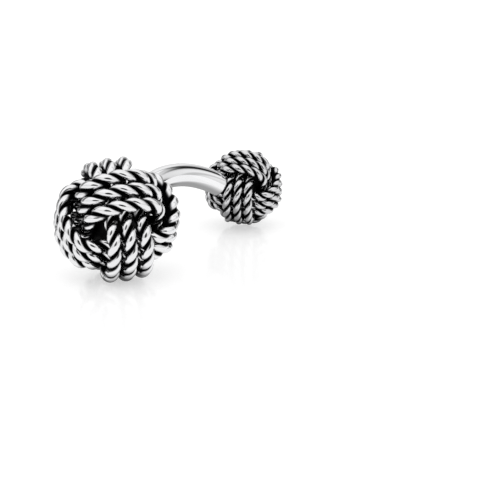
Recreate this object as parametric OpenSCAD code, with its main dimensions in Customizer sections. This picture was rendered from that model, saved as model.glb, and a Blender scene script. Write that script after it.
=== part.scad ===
// One knot cufflink of polished silver, lying on a table: a large knotted head in front, a small knotted head
// behind, and a round arched bar between them. Millimetres, +Z up, long axis along Y, front head towards -Y.
// Each head is the same ball knot. Three flat bands of three rope turns go round the three axes, and each
// band passes over one neighbour and under the other.

/* [Front head] */
// Room that one rope takes in the front head, side by side with its neighbour
front_rope = 1.45; // [1.35:0.05:1.55]
// How the front head is turned as it lies: about X, then Y, then Z
front_lie = [-173, -47.2, -44.2]; // [-180:0.1:180]

/* [Back head] */
// Room that one rope takes in the back head
back_rope = 0.94; // [0.9:0.02:1.04]
// How the back head is turned as it lies: about X, then Y, then Z
back_lie = [172.5, -64, -58.2]; // [-180:0.1:180]

/* [Rope turns] */
// Thickness of a rope as a share of the room that it takes, the rest is the gap between turns
rope_fill = 0.97; // [0.9:0.01:0.98]
// Spacing of the three turns of a band
turn_spacing = 1.05; // [1.05:0.01:1.08]
// Extra spacing of a band's outer turns where the band passes over
turn_flare = 0.08; // [0.04:0.01:0.1]
// Distance of the middle turn from the head's centre where it passes over
middle_over = 3.72; // [3.7:0.01:3.8]
// Distance of the middle turn from the head's centre where it passes under
middle_under = 2.64; // [2.6:0.01:2.68]
// Distance of an outer turn from the middle turn's axis where it passes over
outer_over = 3.66; // [3.6:0.01:3.7]
// Distance of an outer turn from the middle turn's axis where it passes under
outer_under = 2.40; // [2.38:0.01:2.46]
// Where a turn changes from over to under, 0 is halfway and -1 is at its lowest place
change_at = -0.20; // [-0.3:0.05:-0.15]
// Softness of that change
change_softness = 0.24; // [0.2:0.01:0.26]

/* [Bar] */
// Thickness of the round bar
bar_d = 2.3; // [1.8:0.1:2.4]
// Distance along the table between the centres of the heads
reach = 21.2; // [20:0.1:24]
// How far the middle of the bar is arched away from the straight line between its ends
bar_arch = [-1.2, 0, 1.45]; // [-2:0.05:2]
// Distance of the bar's front end from the centre of the front head
front_end = 5.8; // [5.8:0.05:6.2]
// Distance of the bar's back end from the centre of the back head
back_end = 4.05; // [4.05:0.05:4.3]

/* [Pegs] */
// Thickness of the peg that holds the bar in the front head
front_peg_d = 1; // [0.8:0.05:1.1]
// Thickness of the peg that holds the bar in the back head
back_peg_d = 0.6; // [0.4:0.05:0.65]
// Gap round a peg and past its tip in the core
peg_gap = 0.06; // [0.04:0.01:0.1]

/* [Smoothness] */
// Steps along a rope turn
turn_steps = 28; // [24:4:32]
// Sides of a rope turn
turn_sides = 8; // [8:2:10]

/* [Hidden] */
$fn = 64;
BANDS = ["x", "y", "z"];
TURNS = [1, 2, 3];

silver = "silver";
dark_silver = "dimgray";

// The core ball is a little smaller than the space inside the lowest turns, in rope rooms
core_radius = 2.1;
// A peg ends at this share of the core's radius from its centre
peg_reach = 0.6;
// A peg starts this far inside the end of the bar
peg_root = 0.8;
// Lean of a cube's corner from its upright edge
corner_lean = acos(1 / sqrt(3));

function turn_name(head, band, turn) = str(head, "_turn_", BANDS[band], turn);

// Share of the way from under to over, at an angle round a turn
function rise(angle) = 1 / (1 + exp((change_at - cos(2 * angle)) / change_softness));

// Distance of a turn from its band's axis, side is -1, 0 or 1 across the band
function turn_radius(side, angle) =
    let (over = side == 0 ? middle_over : outer_over, under = side == 0 ? middle_under : outer_under)
    under + (over - under) * rise(angle);

// Centre line of a turn, in rope rooms, round the X, Y or Z axis for band 0, 1 or 2
function turn_point(band, side, angle) =
    let (
        u = turn_radius(side, angle) * cos(angle),
        v = turn_radius(side, angle) * sin(angle),
        w = side * (turn_spacing + turn_flare * cos(2 * angle))
    )
    band == 0 ? [w, u, v] : band == 1 ? [v, w, u] : [u, v, w];

function unit(v) = v / norm(v);

// Points on the round skin of a turn, ring after ring, in millimetres
function turn_skin(band, side, rope) = [
    for (i = [0 : turn_steps - 1])
        let (
            step = 360 / turn_steps,
            centre = turn_point(band, side, i * step),
            ahead = turn_point(band, side, (i + 1) * step),
            behind = turn_point(band, side, (i - 1) * step),
            along = unit(ahead - behind),
            across = unit(cross(along, centre)),
            outward = cross(across, along)
        )
        for (j = [0 : turn_sides - 1])
            let (around = j * 360 / turn_sides)
            rope * (centre + rope_fill / 2 * (sin(around) * across + cos(around) * outward))
];

// Triangles that join each ring of the skin to the next, and the last to the first
turn_faces = [
    for (i = [0 : turn_steps - 1], j = [0 : turn_sides - 1])
        let (
            next_i = (i + 1) % turn_steps,
            next_j = (j + 1) % turn_sides,
            a = i * turn_sides + j,
            b = i * turn_sides + next_j,
            c = next_i * turn_sides + next_j,
            d = next_i * turn_sides + j
        )
        each [[a, b, c], [a, c, d]]
];

// Where a point of a head lies once the head is turned about X, Y and Z
function turned(lie, p) =
    let (
        x = [p.x, p.y * cos(lie.x) - p.z * sin(lie.x), p.y * sin(lie.x) + p.z * cos(lie.x)],
        y = [x.x * cos(lie.y) + x.z * sin(lie.y), x.y, x.z * cos(lie.y) - x.x * sin(lie.y)]
    )
    [y.x * cos(lie.z) - y.y * sin(lie.z), y.x * sin(lie.z) + y.y * cos(lie.z), y.z];

// Every point of a head's skin, a head looks the same from opposite sides, so its centre is its middle
function head_skin(lie, rope) = [
    for (band = [0 : 2], side = [-1 : 1], p = turn_skin(band, side, rope)) turned(lie, p)
];

front_skin = head_skin(front_lie, front_rope);
back_skin = head_skin(back_lie, back_rope);

// Both heads touch the table, and the origin is under the middle of the whole cufflink
front_half_length = max([for (p = front_skin) p.y]);
back_half_length = max([for (p = back_skin) p.y]);
middle_y = (reach + back_half_length - front_half_length) / 2;
front_centre = [0, -middle_y, max([for (p = front_skin) p.z])];
back_centre = [0, reach - middle_y, max([for (p = back_skin) p.z])];

// The bar enters each head at the corner that faces the other head
corner = [1, 1, 1] / sqrt(3);
front_way = turned(front_lie, -corner);
back_way = turned(back_lie, corner);
bar_start = front_centre + front_end * front_way;
bar_finish = back_centre + back_end * back_way;

// The bar is an arc, worked out from the straight line between its ends and from its arch
bar_along = unit(bar_finish - bar_start);
bar_half = norm(bar_finish - bar_start) / 2;
arch_square = bar_arch - (bar_arch * bar_along) * bar_along;
arch_height = norm(arch_square);
arch_way = unit(arch_square);
bar_radius = (bar_half * bar_half + arch_height * arch_height) / (2 * arch_height);
bar_half_angle = asin(bar_half / bar_radius);
bar_side = cross(bar_along, arch_way);
bar_hub = (bar_start + bar_finish) / 2 + (arch_height - bar_radius) * arch_way;

// Turns a child that is drawn upward so that it points out through a corner hole, way is -1 or 1
module to_corner(way) {
    rotate([0, corner_lean, 45]) rotate([way < 0 ? 180 : 0, 0, 0]) children();
}

module rope_turn(band, turn, rope) {
    color(silver) polyhedron(points = turn_skin(band, turn - 2, rope), faces = turn_faces, convexity = 6);
}

// Dark ball inside a head, with a blind socket for the bar's peg
module core(rope, peg_d, way) {
    ball = core_radius * rope;
    color(dark_silver) difference() {
        sphere(r = ball);
        to_corner(way) translate([0, 0, ball * peg_reach - peg_gap]) cylinder(d = peg_d + 2 * peg_gap, h = ball);
    }
}

// Peg from inside the bar's end down into the core's socket
module peg(rope, peg_d, end, way) {
    tip = core_radius * rope * peg_reach;
    to_corner(way) translate([0, 0, tip]) cylinder(d = peg_d, h = end + peg_root - tip);
}

module in_front_head() {
    translate(front_centre) rotate(front_lie) children();
}

module in_back_head() {
    translate(back_centre) rotate(back_lie) children();
}

module front_turn(band, turn) {
    in_front_head() rope_turn(band, turn, front_rope);
}

module back_turn(band, turn) {
    in_back_head() rope_turn(band, turn, back_rope);
}

module front_core() {
    in_front_head() core(front_rope, front_peg_d, -1);
}

module back_core() {
    in_back_head() core(back_rope, back_peg_d, 1);
}

// Columns of the placing matrix: along the bar, up its arch, across it, and the arc's centre
module bar_arc() {
    multmatrix([
        [bar_along.x, arch_way.x, bar_side.x, bar_hub.x],
        [bar_along.y, arch_way.y, bar_side.y, bar_hub.y],
        [bar_along.z, arch_way.z, bar_side.z, bar_hub.z],
        [0, 0, 0, 1]
    ])
        rotate([0, 0, 90 - bar_half_angle])
            rotate_extrude(angle = 2 * bar_half_angle)
                translate([bar_radius, 0]) circle(d = bar_d);
}

module post() {
    color(silver) union() {
        bar_arc();
        in_front_head() peg(front_rope, front_peg_d, front_end, -1);
        in_back_head() peg(back_rope, back_peg_d, back_end, 1);
    }
}

front_core();
for (band = [0 : 2], turn = TURNS) {
    front_turn(band, turn);
}
post();
back_core();
for (band = [0 : 2], turn = TURNS) {
    back_turn(band, turn);
}
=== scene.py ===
"""Knot cufflink of polished silver with blackened recesses, lying on a pale table.

Each head is a ball knot of nine rope turns, and every turn is twisted from silver wires. A round arched bar
joins the heads. The row frame is in metres, +Z up, with the long axis along Y and the front head towards -Y.
"""

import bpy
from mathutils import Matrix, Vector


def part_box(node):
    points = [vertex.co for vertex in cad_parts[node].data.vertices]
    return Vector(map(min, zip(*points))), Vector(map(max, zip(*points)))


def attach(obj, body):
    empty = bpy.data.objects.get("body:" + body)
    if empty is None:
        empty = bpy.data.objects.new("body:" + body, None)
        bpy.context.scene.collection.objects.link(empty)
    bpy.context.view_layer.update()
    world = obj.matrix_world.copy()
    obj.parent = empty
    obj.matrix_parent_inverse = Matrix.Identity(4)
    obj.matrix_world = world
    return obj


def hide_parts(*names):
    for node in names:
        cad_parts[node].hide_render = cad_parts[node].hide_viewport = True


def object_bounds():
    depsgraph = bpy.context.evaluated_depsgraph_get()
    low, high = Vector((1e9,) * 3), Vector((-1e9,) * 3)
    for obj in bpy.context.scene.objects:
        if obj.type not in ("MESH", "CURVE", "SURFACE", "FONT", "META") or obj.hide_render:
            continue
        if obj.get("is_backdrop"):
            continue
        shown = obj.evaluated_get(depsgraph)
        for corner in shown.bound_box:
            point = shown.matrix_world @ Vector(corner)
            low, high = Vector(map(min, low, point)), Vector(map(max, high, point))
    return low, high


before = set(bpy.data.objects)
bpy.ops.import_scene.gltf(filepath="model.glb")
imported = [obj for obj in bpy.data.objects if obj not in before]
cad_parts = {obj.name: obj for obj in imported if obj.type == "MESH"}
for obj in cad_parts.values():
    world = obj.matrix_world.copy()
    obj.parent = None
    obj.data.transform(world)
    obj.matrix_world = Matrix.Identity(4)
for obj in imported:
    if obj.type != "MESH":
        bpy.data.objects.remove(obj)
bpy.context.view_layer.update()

import math

import bpy
import numpy as np
from bpy.props import FloatProperty, FloatVectorProperty, IntProperty, IntVectorProperty, PointerProperty
from mathutils import Vector

bl_info = {
    "name": "Knot cufflink",
    "version": (1, 0, 0),
    "blender": (4, 5, 0),
    "location": "3D View > Sidebar > Cufflink",
    "description": "Twists the rope turns of a silver knot cufflink, shapes its bar and sets the studio",
    "category": "Object",
}

MM = 0.001
FULL_TURN = 2 * math.pi
BODY = "root"
CORES = ("front_core", "back_core")
BANDS = "xyz"
# Places of a band's three turns across it
SIDES = (-1, 0, 1)
# The bar enters each head at a corner of the cube that the head's bands go round
CORNER = np.ones(3) / math.sqrt(3)

# Points that measure a turn's length before its wires are laid
FINE_POINTS = 4000
# How far each wire reaches past the rope's middle, as a share of the rope's room
WIRE_OVERLAP = 0.02
# Rings in the rounding of each end of the bar
ROUNDING_RINGS = 6

# Mesh attribute that says how well the polishing wheel reaches a point, from 0 to 1
RAISED = "raised"
# In each of these three pairs the wheel starts to reach the wire at the first number, and reaches it fully
# at the second. Distance from the rope's middle, as a share of the rope's reach
CREST = (0.60, 0.94)
# Distance from the rope's middle away from the head, as a share of the rope's reach
OUTER_SIDE = (-0.35, 0.40)
# Distance from the head's centre in rope rooms
HIGH_UP = (2.3, 3.5)
# The wheel reaches the core balls, deep in the knots, this well all over
CORE_RAISED = 0.1

# The metal turns from oxide to bare silver between these two values of the attribute
RUBBED = (0.05, 0.75)
OXIDE_ROUGHNESS = 0.5
# How much the polishing marks change the roughness, and how coarse that change is beside the marks
HAZE = 0.08
HAZE_COARSENESS = 0.2
# Blender's noise swings round this value
NOISE_MIDDLE = 0.5

# Painted reflection: grey that the metal mirrors in place of the lit floor, in front of the cufflink, behind
# it, far behind it, at its right, and a painted shadow where a head stands
IN_FRONT, BEHIND, FAR_BEHIND, AT_RIGHT, SHADOW_UNDER_HEAD = 1.0, 0.36, 0.6, 0.95, 0.08
# Where these greys meet: ahead of the origin, further ahead, and to the right of it as the camera sees it
BEHIND_EDGE = (0, 6 * MM)
FAR_EDGE = (12 * MM, 30 * MM)
RIGHT_EDGE = (5 * MM, 9 * MM)
# The painted shadow under a head fades between these shares of its core's radius
PAINTED_SHADOW_EDGE = (0.6, 2.0)
# The floor's roughness varies between these two, in clouds of which so many fit in a metre
FLOOR_ROUGHNESS = (0.11, 0.17)
FLOOR_CLOUDS = 40.0
FLOOR_IOR = 1.3

# Light of the tent's walls from low to high, and the heights between which it rises.
# In the tent, heights, ways ahead and ways to the right are cosines from up, ahead and right.
LOW_WALL, HIGH_WALL = 0.78, 1.06
WALL_EDGE = (0.0, 0.8)
# Share of that light on the back wall and in its middle, and the edges of the wall, its top and its middle
BACK_WALL, BACK_MIDDLE = 0.55, 0.95
BACK_EDGE = (0.1, 0.7)
BACK_TOP = (0.5, 0.85)
MIDDLE_EDGE = (0.25, 0.45)
# Share of the light in the opening for the camera, and the opening's edge round it
OPENING = 0.03
OPENING_EDGE = (math.cos(math.radians(30)), math.cos(math.radians(20)))
# Share of the light in the dark seam, the ring that it follows round the camera's way, its edges and its top
SEAM = 0.03
SEAM_RING = math.cos(math.radians(66))
SEAM_EDGE = (0.09, 0.2)
SEAM_TOP = (0.58, 0.68)
# Share of the light in the thin upright line at the right, its edges, and the side that it is on
THIN_LINE = 0.7
THIN_EDGE = (0.05, 0.15)
THIN_SIDE = (0.0, 0.3)

# Millimetres across the camera's sensor, and the nearest and furthest that it sees in metres
SENSOR_WIDTH = 36
NEAREST, FURTHEST = 0.01, 20

# Colour sockets of a mix node
MIX_A, MIX_B, MIX_RESULT = 6, 7, 2


def room(size):
    description = "Room that one rope takes"
    return FloatProperty(name="Rope room", description=description, unit="LENGTH", default=size)


def angles(name, description, degrees):
    """Three angles, each in degrees here."""
    radians = [math.radians(angle) for angle in degrees]
    return FloatVectorProperty(name=name, description=description, subtype="EULER", default=radians)


def counts(numbers):
    description = "Full twists in a turn of the X, Y and Z band"
    return IntVectorProperty(name="Twists", description=description, default=numbers, min=4)


def polish(name, description, roughness):
    return FloatProperty(
        name=name, description=description, subtype="FACTOR", default=roughness, min=0, max=1
    )


def colour(name, description, values):
    return FloatVectorProperty(
        name=name, description=description, subtype="COLOR", default=values, min=0, max=1
    )


class WeaveSettings(bpy.types.PropertyGroup):
    """How a turn of rope winds round the ball, in rope rooms."""

    middle_over: FloatProperty(
        name="Middle turn over",
        description="Middle turn's distance from the head's centre where it passes over",
        default=3.72,
    )
    middle_under: FloatProperty(
        name="Middle turn under",
        description="Middle turn's distance from the head's centre where it passes under",
        default=2.64,
    )
    outer_over: FloatProperty(
        name="Outer turn over",
        description="Outer turn's distance from the band's axis where it passes over",
        default=3.66,
    )
    outer_under: FloatProperty(
        name="Outer turn under",
        description="Outer turn's distance from the band's axis where it passes under",
        default=2.40,
    )
    change_at: FloatProperty(
        name="Change at",
        description="Where a turn changes from over to under, 0 is halfway and -1 is at its lowest place",
        default=-0.20,
    )
    change_softness: FloatProperty(
        name="Change softness", description="Softness of that change", default=0.24
    )
    spacing: FloatProperty(
        name="Turn spacing", description="Spacing of the three turns of a band", default=1.05
    )
    flare: FloatProperty(
        name="Turn flare", description="Extra spacing where the band passes over", default=0.08
    )


class RopeSettings(bpy.types.PropertyGroup):
    """The twisted wires of a rope turn, as shares of the room that the rope takes."""

    wires: IntProperty(
        name="Wires", description="Wires twisted together in the rope", default=2, min=2, max=3
    )
    reach: FloatProperty(
        name="Reach", description="Outermost place of a wire from the rope's middle", default=0.485
    )
    wire_width: FloatProperty(
        name="Wire width", description="Half the width of a wire across the rope", default=0.31
    )
    steps: IntProperty(name="Steps", description="Rings along one turn", default=400, min=60)
    wire_sides: IntProperty(name="Wire sides", description="Points round a wire", default=16, min=6)


class FrontSettings(bpy.types.PropertyGroup):
    """Size and lie of the front head, and where the twist of each of its turns starts."""

    rope: room(1.45 * MM)
    lie: angles("Lie", "Turned about X, then Y, then Z", (-173, -47.2, -44.2))
    twists: counts((10, 10, 9))
    start_x: angles("X band twist", "Start of the twist of the X band's turns", (0, 144, 172))
    start_y: angles("Y band twist", "Start of the twist of the Y band's turns", (98, 132, 8))
    start_z: angles("Z band twist", "Start of the twist of the Z band's turns", (35, 15, 141))


class BackSettings(bpy.types.PropertyGroup):
    """Size and lie of the back head, and where the twist of each of its turns starts."""

    rope: room(0.94 * MM)
    lie: angles("Lie", "Turned about X, then Y, then Z", (172.5, -64, -58.2))
    twists: counts((10, 8, 9))
    start_x: angles("X band twist", "Start of the twist of the X band's turns", (0, 0, 0))
    start_y: angles("Y band twist", "Start of the twist of the Y band's turns", (122, 124, 70))
    start_z: angles("Z band twist", "Start of the twist of the Z band's turns", (175, 146, 115))


class BarSettings(bpy.types.PropertyGroup):
    """The round arched bar between the heads."""

    thickness: FloatProperty(
        name="Thickness", description="Thickness of the bar", unit="LENGTH", default=2.3 * MM
    )
    front_end: FloatProperty(
        name="Front end",
        description="Front end's distance from the front head's centre",
        unit="LENGTH",
        default=5.8 * MM,
    )
    back_end: FloatProperty(
        name="Back end",
        description="Back end's distance from the back head's centre",
        unit="LENGTH",
        default=4.05 * MM,
    )
    arch: FloatVectorProperty(
        name="Arch",
        description="How far the bar's middle is arched",
        subtype="TRANSLATION",
        default=(-1.2 * MM, 0, 1.45 * MM),
    )
    sunk: FloatProperty(
        name="Sunk",
        description="How much deeper the soldered ends reach into the knots",
        unit="LENGTH",
        default=0.7 * MM,
    )
    rounding: FloatProperty(
        name="Rounding",
        description="Rounding of the ends, which are blackened over the same length",
        unit="LENGTH",
        default=0.25 * MM,
    )
    steps: IntProperty(name="Steps", description="Rings along the bar", default=120, min=16)
    sides: IntProperty(name="Sides", description="Points round the bar", default=96, min=16)


class FinishSettings(bpy.types.PropertyGroup):
    """Colours and polish of the metal."""

    silver: colour("Silver", "Colour of the polished silver", (0.93, 0.93, 0.94))
    rope_silver: colour("Rope silver", "Colour of the front head's rubbed rope", (0.86, 0.86, 0.87))
    # The back head's rope is the same silver as the front head's, darkened as painted shade so that it looks
    # dimmer
    small_rope_silver: colour(
        "Small rope silver", "Colour of the back head's duller rope", (0.72, 0.72, 0.73)
    )
    oxide: colour("Oxide", "Colour of the blackened recesses", (0.004, 0.004, 0.005))
    rope_polish: polish("Rope polish", "Roughness of the rope's silver", 0.14)
    bar_polish: polish("Bar polish", "Roughness of the bar's silver", 0.07)
    core_polish: polish("Core polish", "Roughness of the silver on the cores", 0.3)


class StudioSettings(bpy.types.PropertyGroup):
    """Camera, floor and light."""

    azimuth: FloatProperty(
        name="Azimuth",
        description="Camera's turn round the object",
        subtype="ANGLE",
        default=math.radians(35.3),
    )
    elevation: FloatProperty(
        name="Elevation",
        description="Camera's height above the table",
        subtype="ANGLE",
        default=math.radians(17),
    )
    distance: FloatProperty(
        name="Distance", description="Camera to the front head", unit="LENGTH", default=400 * MM
    )
    lens: FloatProperty(name="Lens", description="Focal length", unit="CAMERA", default=311)
    aside: FloatProperty(
        name="Aside",
        description="How far right of the front head the camera aims",
        unit="LENGTH",
        default=11.89 * MM,
    )
    below: FloatProperty(
        name="Below",
        description="How far below the front head the camera aims",
        unit="LENGTH",
        default=1.96 * MM,
    )
    tent_light: FloatProperty(
        name="Tent light", description="Strength of the white light tent", default=1.0
    )
    floor_size: FloatProperty(name="Floor size", description="Side of the floor", unit="LENGTH", default=6)
    floor_colour: colour("Floor colour", "Colour of the floor", (0.66, 0.66, 0.66))
    floor_glow: FloatProperty(
        name="Floor glow", description="Light of the floor itself, which keeps it pale", default=0.53
    )


class CufflinkSettings(bpy.types.PropertyGroup):
    """Every value that a user would change."""

    weave: PointerProperty(type=WeaveSettings)
    rope: PointerProperty(type=RopeSettings)
    front: PointerProperty(type=FrontSettings)
    back: PointerProperty(type=BackSettings)
    bar: PointerProperty(type=BarSettings)
    finish: PointerProperty(type=FinishSettings)
    studio: PointerProperty(type=StudioSettings)


def settings():
    return bpy.context.scene.cufflink


def smooth(low, high, value):
    share = np.clip((value - low) / (high - low), 0, 1)
    return share * share * (3 - 2 * share)


def unit(v):
    return v / np.linalg.norm(v, axis=-1, keepdims=True)


def turn_line(weave, band, side, angle):
    """Centre line of a turn in rope rooms, round the X, Y or Z axis."""
    over, under = (weave.outer_over, weave.outer_under) if side else (weave.middle_over, weave.middle_under)
    turning = np.cos(2 * angle)
    radius = under + (over - under) / (1 + np.exp((weave.change_at - turning) / weave.change_softness))
    u, v = radius * np.cos(angle), radius * np.sin(angle)
    w = side * (weave.spacing + weave.flare * turning)
    order = {"x": (w, u, v), "y": (v, w, u), "z": (u, v, w)}[band]
    return np.stack(order, axis=-1)


def even_turn(weave, band, side, steps):
    """Points an equal length apart along a turn, and the ways outward and across it at each."""
    fine = np.linspace(0, FULL_TURN, FINE_POINTS + 1)
    line = turn_line(weave, band, side, fine)
    length = np.concatenate([[0], np.cumsum(np.linalg.norm(np.diff(line, axis=0), axis=1))])
    angle = np.interp(np.arange(steps) / steps * length[-1], length, fine)
    small = FULL_TURN / FINE_POINTS
    centre = turn_line(weave, band, side, angle)
    along = unit(turn_line(weave, band, side, angle + small) - turn_line(weave, band, side, angle - small))
    across = unit(np.cross(along, centre))
    outward = np.cross(across, along)
    return centre, outward, across


def wire_rings(rope, centre, outward, across, twists, start, wire):
    """Rings of one wire and, for each point, how well the polishing wheel reaches it."""
    steps = len(centre)
    twist = start + FULL_TURN * (twists * np.arange(steps) / steps + wire / rope.wires)
    half = (rope.reach + WIRE_OVERLAP) / 2
    round_wire = np.arange(rope.wire_sides) / rope.wire_sides * FULL_TURN
    lift = half - WIRE_OVERLAP + half * np.cos(round_wire)
    aside = rope.wire_width * np.sin(round_wire)
    out = lift * np.cos(twist)[:, None] - aside * np.sin(twist)[:, None]
    sideways = lift * np.sin(twist)[:, None] + aside * np.cos(twist)[:, None]
    points = centre[:, None] + out[..., None] * outward[:, None] + sideways[..., None] * across[:, None]
    crest = smooth(*CREST, np.hypot(out, sideways) / rope.reach)
    outer_side = smooth(*OUTER_SIDE, out / rope.reach)
    high_up = smooth(*HIGH_UP, np.linalg.norm(points, axis=-1))
    return points, crest * outer_side * high_up


def ring_faces(rings, sides, first, closed):
    """Four-sided faces that look outward, between rings of points."""
    i, j = np.meshgrid(np.arange(rings if closed else rings - 1), np.arange(sides), indexing="ij")
    i_next, j_next = (i + 1) % rings, (j + 1) % sides
    corners = (i * sides + j, i * sides + j_next, i_next * sides + j_next, i_next * sides + j)
    return (np.stack(corners, axis=-1).reshape(-1, 4) + first).tolist()


def new_mesh(name, points, faces, material):
    mesh = bpy.data.meshes.new(name)
    mesh.from_pydata(points.tolist(), [], faces)
    mesh.validate()
    mesh.shade_smooth()
    mesh.materials.append(material)
    piece = bpy.data.objects.new(name, mesh)
    bpy.context.scene.collection.objects.link(piece)
    return piece


def mark_raised(piece, shares):
    mask = piece.data.attributes.new(RAISED, "FLOAT", "POINT")
    mask.data.foreach_set("value", shares.astype(np.float32))


def head_place(head, core_node):
    """Rotation of a head and its centre, which is the middle of its core ball."""
    low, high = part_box(core_node)
    turn = np.array(head.lie.to_matrix())
    return turn, np.array((low + high) / 2)


def make_head(label, head, material):
    """Twists the nine rope turns of a head."""
    values = settings()
    rope = values.rope
    turn, centre = head_place(head, f"{label}_core")
    for band, twists in zip(BANDS, head.twists):
        starts = getattr(head, f"start_{band}")
        for number, (side, start) in enumerate(zip(SIDES, starts), start=1):
            line, outward, across = even_turn(values.weave, band, side, rope.steps)
            points, raised, faces = [], [], []
            for wire in range(rope.wires):
                rings, reached = wire_rings(rope, line, outward, across, twists, start, wire)
                first = wire * rope.steps * rope.wire_sides
                faces += ring_faces(rope.steps, rope.wire_sides, first, closed=True)
                points.append(rings.reshape(-1, 3))
                raised.append(reached.ravel())
            placed = centre + head.rope * np.concatenate(points) @ turn.T
            piece = new_mesh(f"{label}_rope_{band}{number}", placed, faces, material)
            mark_raised(piece, np.concatenate(raised))
            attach(piece, BODY)
            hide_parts(f"{label}_turn_{band}{number}")


def bar_arc(bar):
    """The bar's arc, from the straight line between its ends and from its arch."""
    values = settings()
    front_turn, front_centre = head_place(values.front, "front_core")
    back_turn, back_centre = head_place(values.back, "back_core")
    start = front_centre + bar.front_end * (front_turn @ -CORNER)
    finish = back_centre + bar.back_end * (back_turn @ CORNER)
    along = unit(finish - start)
    half = np.linalg.norm(finish - start) / 2
    arch = np.array(bar.arch)
    arch -= (arch @ along) * along
    height = np.linalg.norm(arch)
    arch_way = arch / height
    radius = (half**2 + height**2) / (2 * height)
    hub = (start + finish) / 2 + (height - radius) * arch_way
    return along, arch_way, hub, radius, math.asin(half / radius)


def make_bar(material):
    """Sweeps the bar along its arc, a little deeper into both knots, with rounded and blackened ends."""
    bar = settings().bar
    along, arch_way, hub, radius, half_angle = bar_arc(bar)
    side_way = np.cross(along, arch_way)
    thick = bar.thickness / 2
    length = radius * half_angle + bar.sunk
    quarter = np.linspace(math.pi / 2, 0, ROUNDING_RINGS)
    from_end = bar.rounding * (1 - np.sin(quarter))
    end_radii = thick - bar.rounding * (1 - np.cos(quarter))
    middle = np.linspace(bar.rounding - length, length - bar.rounding, bar.steps)[1:-1]
    places = np.concatenate([from_end - length, middle, length - from_end[::-1]])
    radii = np.concatenate([end_radii, np.full(len(middle), thick), end_radii[::-1]])
    around = np.arange(bar.sides) / bar.sides * FULL_TURN
    turned = places / radius
    outward = np.sin(turned)[:, None] * along + np.cos(turned)[:, None] * arch_way
    points = (
        (hub + radius * outward)[:, None]
        + (radii[:, None] * np.cos(around))[..., None] * outward[:, None]
        + (radii[:, None] * np.sin(around))[..., None] * side_way
    )
    rings = len(places)
    first_cap = list(range(bar.sides))
    last_cap = [(rings - 1) * bar.sides + j for j in reversed(first_cap)]
    faces = ring_faces(rings, bar.sides, 0, closed=False) + [first_cap, last_cap]
    piece = new_mesh("bar", points.reshape(-1, 3), faces, material)
    bare = smooth(0, bar.rounding, length - np.abs(places))
    mark_raised(piece, np.repeat(bare, bar.sides))
    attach(piece, BODY)
    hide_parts("post")


def add_node(tree, kind, links=None, **values):
    """A node with its settings, its constants and what is linked to its inputs."""
    node = tree.nodes.new(kind)
    for key, value in values.items():
        setattr(node, key, value)
    for socket, source in (links or {}).items():
        if isinstance(source, bpy.types.NodeSocket):
            tree.links.new(source, node.inputs[socket])
        else:
            node.inputs[socket].default_value = source
    return node


def math_node(tree, operation, *values):
    return add_node(tree, "ShaderNodeMath", dict(enumerate(values)), operation=operation).outputs[0]


def vector_node(tree, operation, vector, other):
    """A number worked out from two vectors."""
    links = {0: vector, 1: tuple(other)}
    return add_node(tree, "ShaderNodeVectorMath", links, operation=operation).outputs["Value"]


def ramp(tree, value, edge, low, high):
    """Goes smoothly from low to high as the value crosses the edge."""
    links = {"Value": value, "From Min": edge[0], "From Max": edge[1], "To Min": low, "To Max": high}
    return add_node(tree, "ShaderNodeMapRange", links, interpolation_type="SMOOTHSTEP").outputs["Result"]


def between(tree, share, low, high):
    """Goes evenly from low to high as the share goes from 0 to 1."""
    links = {"Value": share, "To Min": low, "To Max": high}
    return add_node(tree, "ShaderNodeMapRange", links).outputs["Result"]


def noise(tree, place, scale, detail):
    links = {"Vector": place, "Scale": scale, "Detail": detail}
    return add_node(tree, "ShaderNodeTexNoise", links).outputs["Fac"]


def swing(tree, place, scale, detail):
    """Noise that swings round zero."""
    return math_node(tree, "SUBTRACT", noise(tree, place, scale, detail), NOISE_MIDDLE)


def object_place(tree):
    return tree.nodes.new("ShaderNodeTexCoord").outputs["Object"]


def new_group(name, inputs, outputs):
    """A shader node group with its sockets, and what its input and output nodes offer."""
    group = bpy.data.node_groups.new(name, "ShaderNodeTree")
    for label, kind, value in inputs:
        socket = group.interface.new_socket(name=label, in_out="INPUT", socket_type=kind)
        socket.default_value = value
    for label, kind in outputs:
        group.interface.new_socket(name=label, in_out="OUTPUT", socket_type=kind)
    given = group.nodes.new("NodeGroupInput").outputs
    result = group.nodes.new("NodeGroupOutput").inputs
    return group, given, result


def rubbed_group(name):
    """Polish that the wheel leaves on raised metal, with oxide where it can't reach."""
    group, given, result = new_group(
        name,
        [
            ("Raised", "NodeSocketFloat", 1.0),
            ("Bare", "NodeSocketColor", (0.9, 0.9, 0.9, 1)),
            ("Oxide", "NodeSocketColor", (0.01, 0.01, 0.01, 1)),
            ("Bare roughness", "NodeSocketFloat", 0.1),
            ("Oxide roughness", "NodeSocketFloat", OXIDE_ROUGHNESS),
            ("Patch scale", "NodeSocketFloat", 1000.0),
            ("Ragged", "NodeSocketFloat", 0.2),
        ],
        [("Color", "NodeSocketColor"), ("Roughness", "NodeSocketFloat")],
    )
    patches = swing(group, object_place(group), given["Patch scale"], detail=3.0)
    uneven = math_node(group, "MULTIPLY_ADD", patches, given["Ragged"], 1.0)
    ragged = math_node(group, "MULTIPLY", uneven, given["Raised"])
    bare = ramp(group, ragged, RUBBED, 0.0, 1.0)
    colours = {0: bare, MIX_A: given["Oxide"], MIX_B: given["Bare"]}
    mixed = add_node(group, "ShaderNodeMix", colours, data_type="RGBA").outputs[MIX_RESULT]
    rough = between(group, bare, given["Oxide roughness"], given["Bare roughness"])
    group.links.new(mixed, result["Color"])
    group.links.new(rough, result["Roughness"])
    return group


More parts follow.
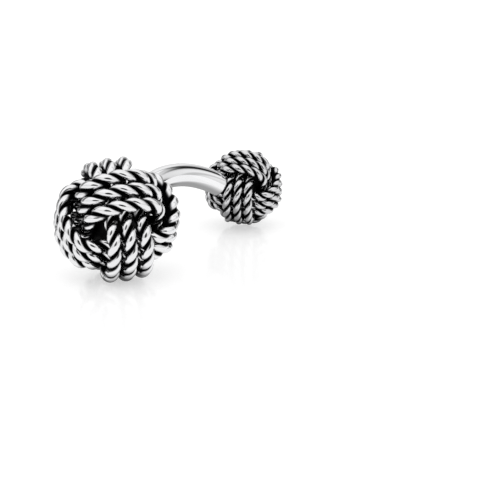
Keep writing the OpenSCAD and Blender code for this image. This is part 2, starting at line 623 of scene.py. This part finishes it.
def marks_group(name):
    """Fine polishing marks: a height for a bump, and a haze that varies the roughness."""
    group, given, result = new_group(
        name,
        [("Scale", "NodeSocketFloat", 3000.0)],
        [("Height", "NodeSocketFloat"), ("Haze", "NodeSocketFloat")],
    )
    place = object_place(group)
    height = noise(group, place, given["Scale"], detail=4.0)
    coarse = math_node(group, "MULTIPLY", given["Scale"], HAZE_COARSENESS)
    haze = swing(group, place, coarse, detail=2.0)
    group.links.new(height, result["Height"])
    group.links.new(haze, result["Haze"])
    return group


def place_group(tree, name, build, links):
    """Places a shared node group, which is built the first time that a material needs it."""
    group = bpy.data.node_groups.get(name) or build(name)
    return add_node(tree, "ShaderNodeGroup", links, node_tree=group).outputs


def new_material(name):
    made = bpy.data.materials.new(name)
    made.use_nodes = True
    return made, made.node_tree, made.node_tree.nodes["Principled BSDF"]


def metal(name, bare, bare_roughness, raised=None, *, patch_scale, ragged, marks_scale, marks_height):
    """Silver of one kind, with so many patches and polishing marks to a metre.

    The bare metal and the oxide are both metallic, so that recesses stay black.
    """
    made, tree, shader = new_material(name)
    shader.inputs["Metallic"].default_value = 1.0
    if raised is None:
        raised = add_node(tree, "ShaderNodeAttribute", attribute_name=RAISED).outputs["Fac"]
    rubbed_values = {
        "Raised": raised,
        "Bare": (*bare, 1),
        "Oxide": (*settings().finish.oxide, 1),
        "Bare roughness": bare_roughness,
        "Oxide roughness": OXIDE_ROUGHNESS,
        "Patch scale": patch_scale,
        "Ragged": ragged,
    }
    rubbed = place_group(tree, "Rubbed metal", rubbed_group, rubbed_values)
    marks = place_group(tree, "Polishing marks", marks_group, {"Scale": marks_scale})
    roughness = math_node(tree, "MULTIPLY_ADD", marks["Haze"], HAZE, rubbed["Roughness"])
    bump_values = {"Height": marks["Height"], "Distance": marks_height, "Strength": 1.0}
    bump = add_node(tree, "ShaderNodeBump", bump_values)
    tree.links.new(rubbed["Color"], shader.inputs["Base Color"])
    tree.links.new(roughness, shader.inputs["Roughness"])
    tree.links.new(bump.outputs["Normal"], shader.inputs["Normal"])
    return made


def rope_metal(name, silver):
    return metal(
        name,
        silver,
        settings().finish.rope_polish,
        patch_scale=2500.0,
        ragged=0.3,
        marks_scale=4000.0,
        marks_height=0.004 * MM,
    )


def bar_metal():
    finish = settings().finish
    return metal(
        "bar silver",
        finish.silver,
        finish.bar_polish,
        patch_scale=1500.0,
        ragged=0.05,
        marks_scale=3000.0,
        marks_height=0.0005 * MM,
    )


def core_metal():
    finish = settings().finish
    return metal(
        "blackened core",
        finish.silver,
        finish.core_polish,
        CORE_RAISED,
        patch_scale=1500.0,
        ragged=0.3,
        marks_scale=2500.0,
        marks_height=0.01 * MM,
    )


def ahead_and_right(look):
    """The level way that the camera looks, and the way to its right."""
    ahead = Vector((look.x, look.y, 0)).normalized()
    return ahead, Vector((ahead.y, -ahead.x, 0))


def make_camera(studio):
    """Aims the camera beside the front head, and returns the way that it looks."""
    a, e = studio.azimuth, studio.elevation
    look = Vector((-math.sin(a) * math.cos(e), math.cos(a) * math.cos(e), -math.sin(e)))
    right = Vector((math.cos(a), math.sin(a), 0))
    up = right.cross(look)
    low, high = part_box("front_core")
    aim = (low + high) / 2 + right * studio.aside - up * studio.below
    data = bpy.data.cameras.new("camera")
    data.lens = studio.lens
    data.sensor_width = SENSOR_WIDTH
    data.clip_start, data.clip_end = NEAREST, FURTHEST
    camera = bpy.data.objects.new("camera", data)
    camera.location = aim - look * studio.distance
    camera.rotation_mode = "QUATERNION"
    camera.rotation_quaternion = look.to_track_quat("-Z", "Y")
    bpy.context.scene.collection.objects.link(camera)
    bpy.context.scene.camera = camera
    return look


def painted_floor_reflection(tree, place, look, height):
    """Painted reflection: grey that the metal mirrors in place of the lit floor, with a painted shadow where
    each head stands.
    """
    ahead, right = (vector_node(tree, "DOT_PRODUCT", place, way) for way in ahead_and_right(look))
    behind = ramp(tree, ahead, BEHIND_EDGE, IN_FRONT, BEHIND)
    far = ramp(tree, ahead, FAR_EDGE, BEHIND, FAR_BEHIND)
    at_right = ramp(tree, right, RIGHT_EDGE, BEHIND, AT_RIGHT)
    grey = math_node(tree, "MAXIMUM", math_node(tree, "MAXIMUM", behind, far), at_right)
    # Painted shadow: the mirrored grey darkens round the point under each head
    for core_node in CORES:
        low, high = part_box(core_node)
        radius = (high.z - low.z) / 2
        shadow_centre = ((low.x + high.x) / 2, (low.y + high.y) / 2, height)
        away = vector_node(tree, "DISTANCE", place, shadow_centre)
        edge = [share * radius for share in PAINTED_SHADOW_EDGE]
        grey = math_node(tree, "MULTIPLY", grey, ramp(tree, away, edge, SHADOW_UNDER_HEAD, 1.0))
    return grey


def make_floor(studio, look, height):
    """A pale floor under the cufflink, which the metal mirrors as a painted reflection in greys of its own.
    """
    pale, tree, shader = new_material("pale floor")
    place = object_place(tree)
    rough = between(tree, noise(tree, place, FLOOR_CLOUDS, detail=2.0), *FLOOR_ROUGHNESS)
    tree.links.new(rough, shader.inputs["Roughness"])
    shader.inputs["Base Color"].default_value = (*studio.floor_colour, 1)
    shader.inputs["IOR"].default_value = FLOOR_IOR
    shader.inputs["Emission Color"].default_value = (1, 1, 1, 1)
    shader.inputs["Emission Strength"].default_value = studio.floor_glow
    # Glossy rays see this glowing painted reflection, with its painted shadows, instead of the lit floor
    grey = painted_floor_reflection(tree, place, look, height)
    reflection_paint = add_node(tree, "ShaderNodeEmission", {"Color": grey})
    seen = tree.nodes.new("ShaderNodeLightPath").outputs["Is Glossy Ray"]
    mix = add_node(tree, "ShaderNodeMixShader", {0: seen, 1: shader.outputs[0], 2: reflection_paint.outputs[0]})
    tree.links.new(mix.outputs[0], tree.nodes["Material Output"].inputs["Surface"])
    half = studio.floor_size / 2
    corners = [(-half, -half, height), (half, -half, height), (half, half, height), (-half, half, height)]
    floor = new_mesh("floor", np.array(corners), [[0, 1, 2, 3]], pale)
    floor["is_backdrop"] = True


def make_tent(studio, look):
    """A white light tent round the table, with a dark opening for the camera and a dark seam behind."""
    world = bpy.data.worlds.new("light tent")
    bpy.context.scene.world = world
    world.use_nodes = True
    tree = world.node_tree
    background = tree.nodes["Background"]
    way = tree.nodes.new("ShaderNodeTexCoord").outputs["Generated"]

    def facing(direction):
        return vector_node(tree, "DOT_PRODUCT", way, direction)

    def brighter(a, b):
        return math_node(tree, "MAXIMUM", a, b)

    def band(value, middle, edge, dark):
        offset = math_node(tree, "ABSOLUTE", math_node(tree, "SUBTRACT", value, middle))
        return ramp(tree, offset, edge, dark, 1.0)

    ahead, right = (facing(level_way) for level_way in ahead_and_right(look))
    height = facing((0, 0, 1))
    walls = ramp(tree, height, WALL_EDGE, LOW_WALL, HIGH_WALL)
    back_wall = brighter(ramp(tree, ahead, BACK_EDGE, 1.0, BACK_WALL), ramp(tree, height, BACK_TOP, 0.0, 1.0))
    middle = ramp(tree, math_node(tree, "ABSOLUTE", right), MIDDLE_EDGE, BACK_MIDDLE, 0.0)
    opening = ramp(tree, facing(-look), OPENING_EDGE, 1.0, OPENING)
    seam = brighter(band(facing(look), SEAM_RING, SEAM_EDGE, SEAM), ramp(tree, height, SEAM_TOP, 0.0, 1.0))
    thin_line = brighter(band(ahead, 0.0, THIN_EDGE, THIN_LINE), ramp(tree, right, THIN_SIDE, 1.0, 0.0))
    dark_lines = math_node(tree, "MULTIPLY", seam, thin_line)
    light = walls
    for share in (brighter(back_wall, middle), opening, dark_lines, studio.tent_light):
        light = math_node(tree, "MULTIPLY", light, share)
    seen = tree.nodes.new("ShaderNodeLightPath").outputs["Is Camera Ray"]
    tree.links.new(between(tree, seen, light, 1.0), background.inputs["Strength"])
    background.inputs["Color"].default_value = (1, 1, 1, 1)


class CUFFLINK_OT_front_head(bpy.types.Operator):
    """Twists the nine rope turns of the front head"""

    bl_idname = "cufflink.front_head"
    bl_label = "Front head"

    def execute(self, context):
        values = settings()
        make_head("front", values.front, rope_metal("rope silver", values.finish.rope_silver))
        return {"FINISHED"}


class CUFFLINK_OT_back_head(bpy.types.Operator):
    """Twists the nine rope turns of the back head"""

    bl_idname = "cufflink.back_head"
    bl_label = "Back head"

    def execute(self, context):
        values = settings()
        # Painted shade: the back head's rope gets a darker copy of the rope silver
        make_head("back", values.back, rope_metal("small rope silver", values.finish.small_rope_silver))
        return {"FINISHED"}


class CUFFLINK_OT_bar(bpy.types.Operator):
    """Sweeps the polished bar, with its ends soldered into the knots"""

    bl_idname = "cufflink.bar"
    bl_label = "Bar"

    def execute(self, context):
        make_bar(bar_metal())
        return {"FINISHED"}


class CUFFLINK_OT_cores(bpy.types.Operator):
    """Gives the core balls their blackened finish"""

    bl_idname = "cufflink.cores"
    bl_label = "Cores"

    def execute(self, context):
        black = core_metal()
        for core_node in CORES:
            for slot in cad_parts[core_node].material_slots:
                slot.material = black
        return {"FINISHED"}


class CUFFLINK_OT_stage(bpy.types.Operator):
    """Lays the pale floor and sets the light tent and the camera"""

    bl_idname = "cufflink.stage"
    bl_label = "Stage"

    def execute(self, context):
        studio = settings().studio
        look = make_camera(studio)
        make_floor(studio, look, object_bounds()[0][2])
        make_tent(studio, look)
        context.scene.view_settings.view_transform = "Standard"
        return {"FINISHED"}


class CUFFLINK_PT_panel(bpy.types.Panel):
    """Lists the steps that make the cufflink and its stage"""

    bl_idname = "CUFFLINK_PT_panel"
    bl_label = "Knot cufflink"
    bl_space_type = "VIEW_3D"
    bl_region_type = "UI"
    bl_category = "Cufflink"

    def draw(self, context):
        for operator in OPERATORS:
            self.layout.operator(operator.bl_idname)


OPERATORS = (
    CUFFLINK_OT_front_head,
    CUFFLINK_OT_back_head,
    CUFFLINK_OT_bar,
    CUFFLINK_OT_cores,
    CUFFLINK_OT_stage,
)
CLASSES = (
    WeaveSettings,
    RopeSettings,
    FrontSettings,
    BackSettings,
    BarSettings,
    FinishSettings,
    StudioSettings,
    CufflinkSettings,
    *OPERATORS,
    CUFFLINK_PT_panel,
)


def register():
    for item in CLASSES:
        bpy.utils.register_class(item)
    bpy.types.Scene.cufflink = PointerProperty(type=CufflinkSettings)


def unregister():
    del bpy.types.Scene.cufflink
    for item in reversed(CLASSES):
        bpy.utils.unregister_class(item)


def main():
    register()
    bpy.ops.cufflink.front_head()
    bpy.ops.cufflink.back_head()
    bpy.ops.cufflink.bar()
    bpy.ops.cufflink.cores()
    bpy.ops.cufflink.stage()


if __name__ == "__main__":
    main()
